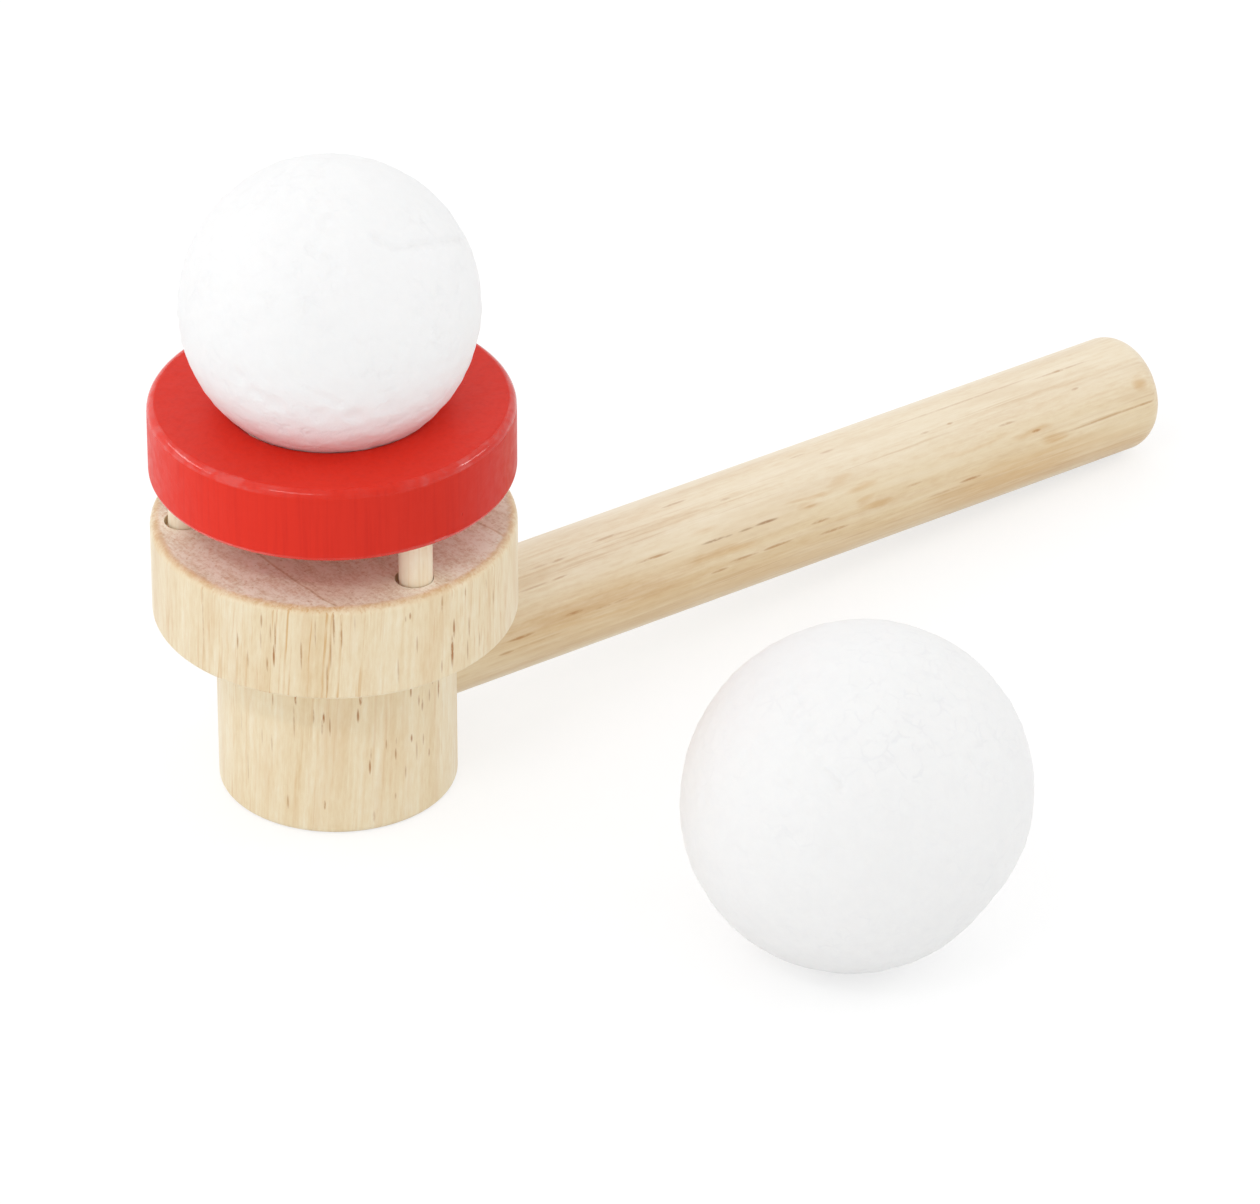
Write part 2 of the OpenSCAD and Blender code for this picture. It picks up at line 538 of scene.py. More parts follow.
    def end_grain(self, graph: Graph, place: Any) -> tuple[Any, Any]:
        """Builds the fine streaks, specks and growth lines of a surface across the fibres.

        Args:
            graph: The material's nodes.
            place: Position in millimetres, with the fibres along its third part.

        Returns:
            The colour and the height of the surface.
        """
        flat = graph.wavy(graph.stretched(place, (1.0, 1.0, 0.05)), (0.12, 0.12, 0.1), 1.6)
        streak = graph.noise(graph.stretched(flat, (2.6, 0.4, 1.0)), 1.0, 4.0, 0.65)
        speck = graph.noise(flat, 1.7, 5.0, 0.78)
        patch = graph.noise(graph.stretched(flat, (0.35, 0.14, 1.0), (5.0, 2.0, 0.0)), 1.0, 3.0, 0.6)
        tone = graph.math("ADD", graph.product(streak, 0.2), graph.product(speck, 0.5))
        tone = graph.math("ADD", tone, graph.product(patch, 0.3))
        colour = graph.ramp(tone, [(0.38, self.end_dark), (0.54, self.end_light)])
        from_pith = graph.stretched(flat, (1.0, 1.0, 0.0), (-self.pith[0], -self.pith[1], 0.0))
        reach = graph.add("VectorMath", {0: from_pith}, operation="LENGTH").outputs["Value"]
        turn = graph.math("DIVIDE", graph.math("SUBTRACT", reach, self.ring_reach), self.ring_step)
        saw = graph.math("FRACT", graph.math("ADD", turn, 20.0))
        late = graph.smooth(saw, 0.35, 1.0)
        line = graph.product(graph.smooth(saw, 0.982, 0.994), graph.smooth(saw, 0.994, 1.0, 1.0, 0.0))
        colour = graph.mix(graph.product(late, 0.4), colour, self.end_late, "MULTIPLY")
        colour = graph.mix(graph.product(line, 0.6), colour, self.end_dark, "MULTIPLY")
        dots = graph.cells(flat, 1.3)
        dot = graph.smooth(dots.outputs["Distance"], 0.1, 0.24, 1.0, 0.0)
        dot = graph.product(dot, graph.smooth(graph.parts(dots.outputs["Color"])[1], 0.5, 0.9))
        colour = graph.mix(graph.product(dot, 0.7), colour, self.end_dark, "MULTIPLY")
        return colour, graph.math("SUBTRACT", graph.product(speck, 0.6), graph.product(dot, 0.6))


@dataclass(frozen=True)
class PaintFinish:
    """Satin paint over turned wood, through which the fibres show faintly.

    Attributes:
        name: Name of the material.
        colour: Common tone of the paint.
        deep: Darker tone in the fibres.
        outer: Distance from the axis beyond which the rounded edges are glossy, in millimetres.
        flank_middle: Middle between the two glossiest sides, towards the spare ball, in millimetres.
        flank_from: How far from that middle the gloss starts to grow, in millimetres.
        painted_shade_share: How far painted shade darkens the paint's side towards the spare ball, and
            painted light brightens the opposite side.
    """

    name: str
    colour: Colour
    deep: Colour
    outer: float = 17.0
    flank_middle: float = 2.3
    flank_from: float = 6.0
    painted_shade_share: float = 0.12

    def material(self) -> bpy.types.Material:
        """Builds the node material.

        Returns:
            The material.
        """
        graph = Graph(self.name)
        place = graph.place()
        fine = graph.noise(graph.stretched(place, (1.6, 1.6, 0.06)), 1.0, 3.0, 0.6)
        cells = graph.cells(graph.stretched(place, (0.8, 0.8, 0.35)))
        speck = graph.smooth(cells.outputs["Distance"], 0.04, 0.11, 1.0, 0.0)
        rare = graph.smooth(graph.parts(cells.outputs["Color"])[1], 0.8, 0.95)
        speck = graph.product(speck, rare)
        colour = graph.mix(graph.smooth(fine, 0.4, 0.8, 0.0, 0.8), self.colour, self.deep)
        colour = graph.mix(graph.product(speck, 0.5), colour, self.deep, "MULTIPLY")
        # Painted shade and light: the side facing the spare ball is darkened and the opposite side
        # brightened.
        colour = graph.mix(1.0, colour, self.side_painted_shade(graph), "MULTIPLY")
        skin = graph.noise(place, 0.7, 4.0, 0.6)
        height = graph.math("ADD", graph.product(fine, 0.15), graph.product(skin, 0.6))
        height = graph.math("SUBTRACT", height, graph.product(speck, 0.3))
        bump = graph.add("Bump", {"Strength": 0.5, "Distance": 0.16 * MM, "Height": height})
        edge = self.edge_share(graph, place)
        rough = graph.math("SUBTRACT", graph.smooth(skin, 0.35, 0.65, 0.36, 0.46), graph.product(edge, 0.26))
        worn = graph.smooth(graph.noise(place, 0.45, 3.0, 0.6), 0.42, 0.6, 0.3, 1.0)
        gloss = graph.math("ADD", graph.product(edge, worn, self.flank(graph, place), 0.85), 0.18)
        shader = graph.add("BsdfPrincipled", {
            "Base Color": colour, "Roughness": rough, "Specular IOR Level": gloss, "Normal": bump.outputs[0]})
        return graph.finish(shader.outputs[0])

    def edge_share(self, graph: Graph, place: Any) -> Any:
        """Finds the outer rounded edges, where the paint is thick and glossy.

        Args:
            graph: The material's nodes.
            place: Position in millimetres.

        Returns:
            A value from 0, on the flats and the sides, to 1, on those edges.
        """
        rise = graph.math("ABSOLUTE", graph.parts(graph.add("NewGeometry").outputs["Normal"])[2])
        round_share = graph.product(graph.smooth(rise, 0.08, 0.3), graph.smooth(rise, 0.93, 0.995, 1.0, 0.0))
        return graph.product(round_share, graph.smooth(graph.from_axis(place), self.outer, self.outer + 1.0))

    def flank(self, graph: Graph, place: Any) -> Any:
        """Finds the two opposite sides where the rounded edges are the glossiest.

        Args:
            graph: The material's nodes.
            place: Position in millimetres.

        Returns:
            A value that grows to 1 on those sides.
        """
        reach = graph.math("SUBTRACT", graph.towards(place, SPARE_SIDE), self.flank_middle)
        reach = graph.math("ABSOLUTE", reach)
        return graph.smooth(reach, self.flank_from, self.flank_from + 5.0, 0.2, 1.0)

    def side_painted_shade(self, graph: Graph) -> Any:
        """Gives painted shade and light round the side: the paint is darkened on the side facing the spare
        ball and brightened on the far side, as the light falls.
        """
        turn = graph.towards(graph.add("NewGeometry").outputs["Normal"], SPARE_SIDE)
        return graph.smooth(turn, -0.9, 0.9, 1 + self.painted_shade_share, 1 - self.painted_shade_share)


@dataclass(frozen=True)
class FoamFinish:
    """White expanded foam with the outlines of its beads.

    Attributes:
        name: Name of the material.
        colour: Tone of the foam.
        seam: Tone between the beads.
        bead: Size of a bead in millimetres.
        seam_way: Which way from the origin the seams lie, of length 1.
        seam_from: How far out that way they start, in millimetres.
        seam_width: Half width of a seam, as a share of a bead.
        seam_depth: Depth of the seams, where 1 is as deep as the skin's own bumps.
    """

    name: str
    colour: Colour
    seam: Colour
    bead: float = 1.9
    seam_way: Place = (0.0, 0.0, 1.0)
    seam_from: float = 200.0
    seam_width: float = 0.1
    seam_depth: float = 0.1

    def material(self) -> bpy.types.Material:
        """Builds the node material.

        Returns:
            The material.
        """
        graph = Graph(self.name)
        place = graph.place()
        bent = graph.wavy(place, (0.5, 0.5, 0.5), 1.6)
        edge = graph.cells(bent, 1 / self.bead, "DISTANCE_TO_EDGE").outputs["Distance"]
        seam = graph.smooth(edge, 0.0, self.seam_width, 1.0, 0.0)
        patch = graph.smooth(graph.noise(graph.stretched(place, (0.12,) * 3, (3.0, 1.0, 5.0))), 0.42, 0.66)
        broken = graph.smooth(graph.noise(place, 0.5, 3.0), 0.4, 0.6)
        reach = graph.towards(place, self.seam_way)
        side = graph.smooth(reach, self.seam_from, self.seam_from + 2.0, 0.0, 0.7)
        seam = graph.product(seam, graph.math("ADD", patch, side), broken)
        skin = graph.noise(place, 0.45, 6.0, 0.7)
        colour = graph.mix(graph.product(seam, 0.25), self.colour, self.seam)
        colour = graph.mix(graph.smooth(skin, 0.35, 0.65, 0.0, 0.12), colour, self.seam)
        height = graph.math("SUBTRACT", skin, graph.product(seam, self.seam_depth))
        bump = graph.add("Bump", {"Strength": 0.5, "Distance": 0.24 * MM, "Height": height})
        shader = graph.add("BsdfPrincipled", {
            "Base Color": colour, "Roughness": 0.5, "Specular IOR Level": 0.22,
            "Subsurface Weight": 0.35, "Subsurface Scale": 2.0 * MM,
            "Subsurface Radius": (1.0, 0.95, 0.92), "Normal": bump.outputs[0]})
        return graph.finish(shader.outputs[0])


BROWN_PORE = linear(168, 104, 36)
DISC_MARKS = MarkSet(DISC_RADIUS, BROWN_PORE, (
    Mark(188, 32.3, 13.1, 0.34, 0.35), Mark(201.6, 31.3, 3, 0.31, 0.7), Mark(205.2, 29, 3.2, 0.31, 0.45),
    Mark(209.9, 35.1, 2.5, 0.31, 0.6), Mark(209.5, 32.2, 3.2, 0.27, 0.35), Mark(214.5, 33, 5, 0.31, 0.6),
    Mark(213.9, 30.3, 3.5, 0.37, 0.95), Mark(212.8, 33.5, 3.2, 0.27, 0.5), Mark(211.6, 28.9, 2.5, 0.31, 0.65),
    Mark(222.8, 31, 4.8, 0.31, 0.6), Mark(227.1, 34.2, 4.5, 0.27, 0.5), Mark(230.5, 27.6, 5.6, 0.34, 0.5),
    Mark(231.6, 31.5, 5.6, 0.34, 0.55), Mark(232.7, 35, 5.8, 0.34, 0.75), Mark(235.2, 33.8, 4.5, 0.34, 0.6),
    Mark(239.5, 35.2, 3.2, 0.27, 0.3), Mark(253, 27.9, 4.2, 0.31, 0.35), Mark(255.6, 35, 1, 0.27, 0.45),
    Mark(257, 35.3, 1.2, 0.34, 0.7), Mark(259.1, 31, 3.2, 0.34, 0.55), Mark(268.5, 35.6, 3, 0.34, 0.6),
    Mark(268.2, 26.7, 2.2, 0.34, 0.45), Mark(272.1, 28.2, 5.2, 0.51, 1), Mark(272.9, 31.4, 3.2, 0.44, 0.9),
    Mark(277.8, 35.8, 1.5, 0.34, 0.5), Mark(278.4, 27.3, 3.5, 0.34, 0.6), Mark(279.2, 30.5, 3.5, 0.34, 0.55),
    Mark(284.2, 27.8, 2.5, 0.34, 0.4), Mark(288, 35, 1.8, 0.34, 0.3), Mark(292, 32.3, 2.8, 0.41, 0.5),
))
FOOT_MARKS = MarkSet(FOOT_RADIUS, BROWN_PORE, (
    Mark(180.6, 13, 5, 0.34, 0.3), Mark(184.8, 7, 5.6, 0.34, 0.3), Mark(194.8, 12.5, 3, 0.31, 0.3),
    Mark(200.1, 12, 3, 0.31, 0.35), Mark(201.2, 18.5, 2.2, 0.31, 0.55), Mark(208.2, 4.1, 2.5, 0.34, 0.6),
    Mark(212.2, 16, 5.6, 0.27, 0.4), Mark(213.3, 19.4, 1.8, 0.34, 0.95), Mark(222, 17.2, 2.5, 0.31, 0.5),
    Mark(226.2, 15.6, 2.5, 0.31, 0.55), Mark(226.5, 4.3, 1.5, 0.34, 0.85), Mark(227.1, 17, 1.8, 0.37, 0.95),
    Mark(230.1, 15.7, 3.2, 0.31, 0.6), Mark(243.1, 17.2, 2.4, 0.37, 0.9), Mark(244.4, 19.5, 1.9, 0.44, 0.95),
    Mark(248.4, 9.5, 2.5, 0.37, 0.85), Mark(249, 11.4, 2, 0.27, 0.4), Mark(250, 2.2, 2, 0.41, 0.35),
    Mark(257, 12.4, 1.9, 0.34, 0.65), Mark(261.4, 4.4, 1.2, 0.34, 0.45), Mark(261.9, 10.6, 2.2, 0.37, 0.85),
    Mark(262.3, 12.4, 2, 0.27, 0.45), Mark(267.2, 7.4, 2.2, 0.34, 0.45), Mark(271, 12, 1.4, 0.41, 0.8),
    Mark(271, 18.8, 1.9, 0.41, 0.75), Mark(274.2, 9.8, 3.2, 0.34, 0.4), Mark(275.9, 17, 2, 0.41, 0.5),
    Mark(278, 16.1, 2.1, 0.41, 0.6), Mark(278.4, 11, 2, 0.34, 0.45), Mark(282.3, 8.5, 1.5, 0.41, 0.6),
    Mark(283.1, 16.8, 2.2, 0.41, 0.5), Mark(285.7, 18.5, 1, 0.41, 0.6), Mark(290.6, 16.9, 3.5, 0.48, 0.85),
))
# Painted shade: a broad tint multiplied into the wood that darkens and warms the pipe's lower side along its
# whole length, where the light falls less.
PIPE_PAINTED_SHADE = MarkSet(PIPE_RADIUS, linear(243, 234, 215), (
    Mark(98, 70, 420, 16, 1), Mark(112, 60, 300, 9, 1), Mark(92, 34, 60, 12, 1),
), start=180.0, blend=Blend.STAIN_AND_SHADE)
# Orange stains along the grain are real. The broad marks on the pipe's lower side (turns 85 to 115) are
# partly the wood's tone and partly painted shade. The one near the far end (turn 106) is painted shade only.
PIPE_STAINS_AND_SHADE = MarkSet(PIPE_RADIUS, linear(232, 203, 160), (
    Mark(46, 54.8, 6, 1.26, 0.34), Mark(63.6, 23.6, 5.4, 1.44, 0.38), Mark(70.2, 55.5, 15, 1.62, 0.45),
    Mark(70, 52.2, 3.6, 1.8, 0.45), Mark(85, 36, 44, 9, 0.4), Mark(115, 62, 96, 7, 0.35),
    Mark(49.7, 71.9, 9, 0.9, 0.45), Mark(57.8, 71.2, 5.4, 1.26, 0.45), Mark(44.5, 77, 5.4, 1.17, 0.38),
    Mark(56.4, 79.5, 5.7, 1.26, 0.49), Mark(70, 80, 3.9, 1.17, 0.41), Mark(76.5, 81.7, 6.3, 1.26, 0.52),
    Mark(56.4, 99, 15, 1.17, 0.34), Mark(62.1, 108.9, 8.1, 1.44, 0.56), Mark(75, 112.2, 5.4, 2.16, 0.56),
    Mark(53.5, 127.8, 3, 2.34, 0.6), Mark(118, 123.5, 16.5, 7.2, 0.45), Mark(106, 106, 40, 8, 0.6),
), start=180.0, blend=Blend.STAIN_AND_SHADE)
PIPE_MARKS = MarkSet(PIPE_RADIUS, linear(174, 114, 44), (
    Mark(6.2, 53, 4.8, 0.48, 0.45), Mark(18.3, 41.1, 6.2, 0.48, 0.45), Mark(22, 59.7, 2, 0.41, 0.3),
    Mark(23.2, 29.4, 3.8, 0.41, 0.25), Mark(23.8, 32.4, 3, 0.41, 0.45), Mark(41.1, 27, 5.8, 0.41, 0.5),
    Mark(41.1, 31.2, 3, 0.41, 0.5), Mark(53.8, 45.8, 6.5, 0.41, 0.65), Mark(57.5, 71.2, 2.5, 0.41, 0.3),
    Mark(77.4, 31.8, 3.5, 0.48, 0.6), Mark(81.4, 36.6, 3, 0.41, 0.55), Mark(81.6, 39.3, 2.8, 0.41, 0.5),
    Mark(82.9, 23.2, 5.2, 0.51, 0.75), Mark(83.7, 59.5, 5.6, 0.41, 0.6), Mark(83.7, 64.8, 6.2, 0.48, 0.75),
    Mark(88.4, 55.4, 3.2, 0.41, 0.6), Mark(94, 26, 10, 0.41, 0.25), Mark(94.4, 21, 3, 0.48, 0.55),
    Mark(75.1, 72.2, 3.6, 0.48, 0.6), Mark(89, 74.4, 5.5, 0.48, 0.6), Mark(87.2, 97.4, 4.2, 0.51, 0.75),
    Mark(91, 92.9, 6.5, 0.41, 0.35), Mark(74.2, 121.4, 20, 0.37, 0.45), Mark(74.2, 127.8, 3.2, 0.41, 0.55),
    Mark(62.6, 109.2, 1.8, 0.41, 0.7), Mark(46.6, 105.2, 3.8, 0.41, 0.45), Mark(71.6, 88, 3.2, 0.41, 0.3),
    Mark(6.5, 101, 32.5, 0.37, 0.3), Mark(10.5, 117.5, 12.5, 0.41, 0.4), Mark(10.5, 117.2, 3.2, 0.54, 0.6),
    Mark(0.4, 74, 3, 0.41, 0.3), Mark(8.8, 78.1, 3, 0.48, 0.35), Mark(27, 92.7, 1.8, 0.41, 0.35),
    Mark(26.6, 97, 1.2, 0.41, 0.5), Mark(36.8, 117.6, 1.5, 0.41, 0.45),
), start=180.0)
PIPE_CRACK = MarkSet(PIPE_RADIUS, linear(148, 94, 40), (
    Mark(57.3, 55.2, 4.6, 0.36, 0.7), Mark(57.8, 57.6, 2, 0.3, 0.45), Mark(58, 60.5, 3.4, 0.38, 0.7),
    Mark(57.6, 63.7, 4.6, 0.46, 0.85),
), start=180.0)
HEAD_LINES = MarkSet(DISC_RADIUS, BROWN_PORE, (
    Mark(218, 31, 90, 21, 1), Mark(290, 31, 90, 16, 0.6), Mark(190, 31, 90, 14, 0.5),
))
HEAD_WOOD = WoodFinish(
    name="head_hardwood", grain=Grain.UPRIGHT,
    light=linear(245, 235, 210), middle=linear(238, 221, 187), dark=linear(227, 202, 160),
    line=linear(214, 170, 112),
    pores=Pores(across=1.6, along=0.16, width=0.2, rare=0.5, colour=BROWN_PORE, strength=0.8, front=0.0),
    contrast=0.85, lean=(-0.044, -0.055, 0.0), lined=HEAD_LINES, marks=(DISC_MARKS, FOOT_MARKS),
    end_light=linear(254, 253, 234), end_dark=linear(217, 197, 161), end_radius=21.8,
    rim=linear(218, 184, 132))
PIPE_WOOD = WoodFinish(
    name="pipe_hardwood", grain=Grain.ALONG_PIPE,
    light=linear(244, 232, 209), middle=linear(238, 223, 196), dark=linear(227, 203, 169),
    line=linear(208, 174, 132),
    pores=Pores(across=1.1, along=0.13, width=0.22, rare=0.45, colour=linear(172, 122, 74), strength=0.7,
                front=0.0),
    contrast=0.85, marks=(PIPE_PAINTED_SHADE, PIPE_STAINS_AND_SHADE, PIPE_MARKS, PIPE_CRACK),
    end_light=linear(232, 208, 176), end_dark=linear(196, 156, 120), pith=(60.0, 80.0), ring_reach=98.0)
PIN_WOOD = WoodFinish(
    name="pin_hardwood", grain=Grain.UPRIGHT,
    light=linear(250, 241, 218), middle=linear(246, 232, 205), dark=linear(238, 216, 180),
    line=linear(222, 190, 142),
    pores=Pores(across=1.8, along=0.14, width=0.16, rare=0.7, colour=linear(190, 148, 100), strength=0.5,
                front=0.6),
    end_light=linear(232, 208, 176), end_dark=linear(196, 156, 120))
RED_PAINT = PaintFinish("red_satin_paint", (0.72, 0.025, 0.010), (0.65, 0.019, 0.008))
WHITE_FOAM = FoamFinish("white_foam", (0.94, 0.94, 0.94), (0.85, 0.85, 0.86), bead=2.4,
                        seam_way=(0.0, 0.0, -1.0), seam_from=-61.0, seam_width=0.22, seam_depth=0.5)
SPARE_FOAM = FoamFinish("spare_white_foam", (0.915, 0.915, 0.91), (0.80, 0.80, 0.82), bead=2.4,
                        seam_way=(0.156, -0.624, 0.766), seam_from=81.4)


def deselect_all() -> None:
    """Leaves edit mode and clears the selection."""
    if bpy.context.object is not None and bpy.context.object.mode != "OBJECT":
        bpy.ops.object.mode_set(mode="OBJECT")
    bpy.ops.object.select_all(action="DESELECT")


def direction(bearing: float, lift: float) -> Vector:
    """Gives a direction.

    Args:
        bearing: Bearing seen from above, in degrees from +X.
        lift: Angle above the level, in degrees.

    Returns:
        The direction, of length 1.
    """
    turn, tilt = math.radians(bearing), math.radians(lift)
    return Vector((math.cos(turn) * math.cos(tilt), math.sin(turn) * math.cos(tilt), math.sin(tilt)))


@dataclass
class SolidPiece:
    """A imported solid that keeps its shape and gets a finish.

    Attributes:
        node: Name of the solid.
        finish: The finish that it gets.
    """

    node: str
    finish: WoodFinish | PaintFinish

    def dress(self, made: dict[str, bpy.types.Material]) -> None:
        """Puts the finish on the solid.

        Args:
            made: Materials made so far, by name, so that pieces of one wood share one.
        """
        if self.finish.name not in made:
            made[self.finish.name] = self.finish.material()
        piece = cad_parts[self.node]
        for slot in piece.material_slots:
            slot.material = made[self.finish.name]
        LOG.info("%s: %s on the packed solid", self.node, self.finish.name)


@dataclass(frozen=True)
class Dent:
    """A pit or a crease in a foam ball.

    Attributes:
        path: Bearings and lifts that it runs through, seen from the ball's middle. A pit has one.
        reach: How far it fades out to either side, in millimetres.
        depth: Depth in millimetres.
    """

    path: tuple[tuple[float, float], ...]
    reach: float
    depth: float

    def places(self, centre: Vector, radius: float) -> list[Vector]:
        """Gives places along it on a sphere, about a third of a millimetre apart.

        Args:
            centre: Middle of the sphere.
            radius: Radius of the sphere in metres.

        Returns:
            The places.
        """
        ways = [direction(*point) for point in self.path]
        found = [centre + ways[0] * radius]
        for start, end in zip(ways, ways[1:]):
            steps = max(1, round(start.angle(end) * radius / (0.33 * MM)))
            found += [centre + start.slerp(end, step / steps) * radius for step in range(1, steps + 1)]
        return found


@dataclass
class FoamBall:
    """A moulded foam ball, a little out of round, with beads, pits and creases.

    Attributes:
        name: Name of the piece.
        node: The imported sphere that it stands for.
        body: The body that it rides on.
        finish: The finish that it gets.
        dents: Its pits and creases.
        long_way: Bearing and lift of its longest diameter.
        long_share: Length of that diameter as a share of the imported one.
        slim_share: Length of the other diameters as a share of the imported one.
        swell: Depth of the broad unevenness, in millimetres.
        bead_depth: Depth of the hollows between beads, in millimetres.
        nest: How far its weight presses it into its seat, in millimetres.
    """

    name: str
    node: str
    body: str
    finish: FoamFinish
    dents: tuple[Dent, ...]
    long_way: tuple[float, float] = (0.0, 0.0)
    long_share: float = 1.0
    slim_share: float = 1.0
    swell: float = 0.1
    bead_depth: float = 0.05
    nest: float = 0.0

    def build(self) -> bpy.types.Object:
        """Models the ball.

        Returns:
            The finished ball.
        """
        low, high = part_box(self.node)
        centre, radius = (low + high) / 2, (high.z - low.z) / 2
        deselect_all()
        bpy.ops.mesh.primitive_ico_sphere_add(subdivisions=7, radius=radius, location=centre)
        ball = bpy.context.object
        ball.name = self.name
        bpy.ops.object.transform_apply(location=True, rotation=True, scale=True)
        self.knead(ball, centre)
        self.dent(ball, centre, radius)
        self.roughen(ball, "swell", "CLOUDS", 7 * MM, self.swell * MM)
        self.roughen(ball, "beads", "VORONOI", 2 * MM, -self.bead_depth * MM)
        self.settle(ball, low.z - self.nest * MM)
        bpy.ops.object.shade_smooth()
        return ball

    def knead(self, ball: bpy.types.Object, centre: Vector) -> None:
        """Makes the ball out of round.

        Args:
            ball: The ball.
            centre: Its middle.
        """
        axes = direction(*self.long_way).to_track_quat("Z", "Y").to_matrix().transposed()
        bpy.ops.object.mode_set(mode="EDIT")
        bpy.ops.mesh.select_all(action="SELECT")
        bpy.ops.transform.resize(
            value=(self.slim_share, self.slim_share, self.long_share), orient_type="GLOBAL",
            orient_matrix=tuple(tuple(row) for row in axes), orient_matrix_type="GLOBAL",
            center_override=tuple(centre))
        bpy.ops.object.mode_set(mode="OBJECT")

    def dent(self, ball: bpy.types.Object, centre: Vector, radius: float) -> None:
        """Presses each pit and crease into the ball.

        Args:
            ball: The ball.
            centre: Its middle.
            radius: Its radius in metres.
        """
        tree = KDTree(len(ball.data.vertices))
        for vertex in ball.data.vertices:
            tree.insert(vertex.co, vertex.index)
        tree.balance()
        for dent in self.dents:
            bpy.ops.object.mode_set(mode="EDIT")
            bpy.ops.mesh.select_mode(type="VERT")
            bpy.ops.mesh.select_all(action="DESELECT")
            bpy.ops.object.mode_set(mode="OBJECT")
            for place in dent.places(centre, radius):
                ball.data.vertices[tree.find(place)[1]].select = True
            bpy.ops.object.mode_set(mode="EDIT")
            bpy.ops.transform.shrink_fatten(
                value=-dent.depth * MM, use_proportional_edit=True, proportional_edit_falloff="SMOOTH",
                proportional_size=dent.reach * MM)
            bpy.ops.object.mode_set(mode="OBJECT")

    def roughen(self, ball: bpy.types.Object, name: str, kind: str, size: float, depth: float) -> None:
        """Moves the skin in and out by a pattern.

        Args:
            ball: The ball.
            name: Name of the pattern.
            kind: Blender's name for the kind of pattern.
            size: Size of the pattern in metres.
            depth: How far the skin moves between its lowest and highest places, in metres.
        """
        pattern = bpy.data.textures.new(f"{self.name}_{name}", kind)
        pattern.noise_scale = size
        modifier = ball.modifiers.new(name, "DISPLACE")
        modifier.texture, modifier.texture_coords = pattern, "LOCAL"
        modifier.strength, modifier.mid_level = depth, 0.5
        bpy.ops.object.modifier_apply(modifier=modifier.name)

    def settle(self, ball: bpy.types.Object, floor: float) -> None:
        """Sets the ball down.

        Args:
            ball: The ball.
            floor: Height of its lowest place in metres.
        """
        lowest = min(vertex.co.z for vertex in ball.data.vertices)
        bpy.ops.object.mode_set(mode="EDIT")
        bpy.ops.mesh.select_all(action="SELECT")
        bpy.ops.transform.translate(value=(0.0, 0.0, floor - lowest), orient_type="GLOBAL")
        bpy.ops.object.mode_set(mode="OBJECT")

    def dress(self, made: dict[str, bpy.types.Material]) -> None:
        """Builds the ball, gives it its finish and lets it ride on its body.

        Args:
            made: Materials made so far, by name.
        """
        ball = self.build()
        if self.finish.name not in made:
            made[self.finish.name] = self.finish.material()
        ball.data.materials.append(made[self.finish.name])
        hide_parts(self.node)
        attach(ball, self.body)
        LOG.info("%s: modelled with %d dents, replaces %s", self.name, len(self.dents), self.node)


FLOATING_BALL = FoamBall(
    name="floating_foam_ball", node="ball", body="floating_ball", finish=WHITE_FOAM,
    swell=0.2, bead_depth=0.15, nest=0.15, dents=(
        Dent(((263, 54), (272, 46), (285, 44), (301, 39), (323, 28)), 0.85, 0.34),
        Dent(((285, 44), (288, 39)), 0.81, 0.17), Dent(((305, 48),), 1.44, 0.32),
        Dent(((217, 71),), 1.44, 0.27), Dent(((231, 64),), 1.35, 0.23), Dent(((238, 57),), 1.26, 0.23),
        Dent(((224, 51),), 1.35, 0.23), Dent(((233, 48),), 1.26, 0.23), Dent(((238, 42),), 1.17, 0.2),
        Dent(((213, 62),), 1.35, 0.23), Dent(((223, -3), (236, -10)), 0.9, 0.16),
        Dent(((196, -4),), 1.8, 0.22), Dent(((204, -9),), 1.6, 0.2), Dent(((212, -12),), 1.8, 0.24),
        Dent(((229, -16),), 1.7, 0.2), Dent(((243, -17),), 1.8, 0.22), Dent(((257, -16),), 1.6, 0.2),
        Dent(((271, 20),), 1.44, 0.2), Dent(((262, 11),), 1.44, 0.2),
    ))
SPARE_BALL = FoamBall(
    name="spare_foam_ball", node="spare_ball", body="loose_ball", finish=SPARE_FOAM,
    long_way=(-11.0, 37.0), long_share=1.026, slim_share=0.987, swell=0.2, bead_depth=0.15, dents=(
        Dent(((297.5, -33.2),), 10.0, 0.5), Dent(((0, -90),), 5.0, 0.12),
        Dent(((217, 41), (220, 39), (223, 36)), 0.81, 0.23),
        Dent(((177, 63),), 1.44, 0.23), Dent(((189, 60),), 1.44, 0.26), Dent(((190, 54),), 1.35, 0.23),
        Dent(((203, 53),), 1.44, 0.23), Dent(((209, 48),), 1.35, 0.23), Dent(((214, 43),), 1.26, 0.2),
        Dent(((183, 43),), 1.44, 0.2), Dent(((202, 33),), 1.44, 0.2), Dent(((178, 37),), 1.35, 0.17),
        Dent(((281, 35),), 1.53, 0.2), Dent(((283, 3),), 1.44, 0.2), Dent(((302, 11),), 1.44, 0.17),
        Dent(((236, 72),), 1.53, 0.17), Dent(((167, 14),), 1.44, 0.17), Dent(((220, 14),), 1.44, 0.17),
        Dent(((280, 76), (284, 59)), 1.08, 0.1), Dent(((284, 59), (288, 38)), 1.08, 0.1),
    ))


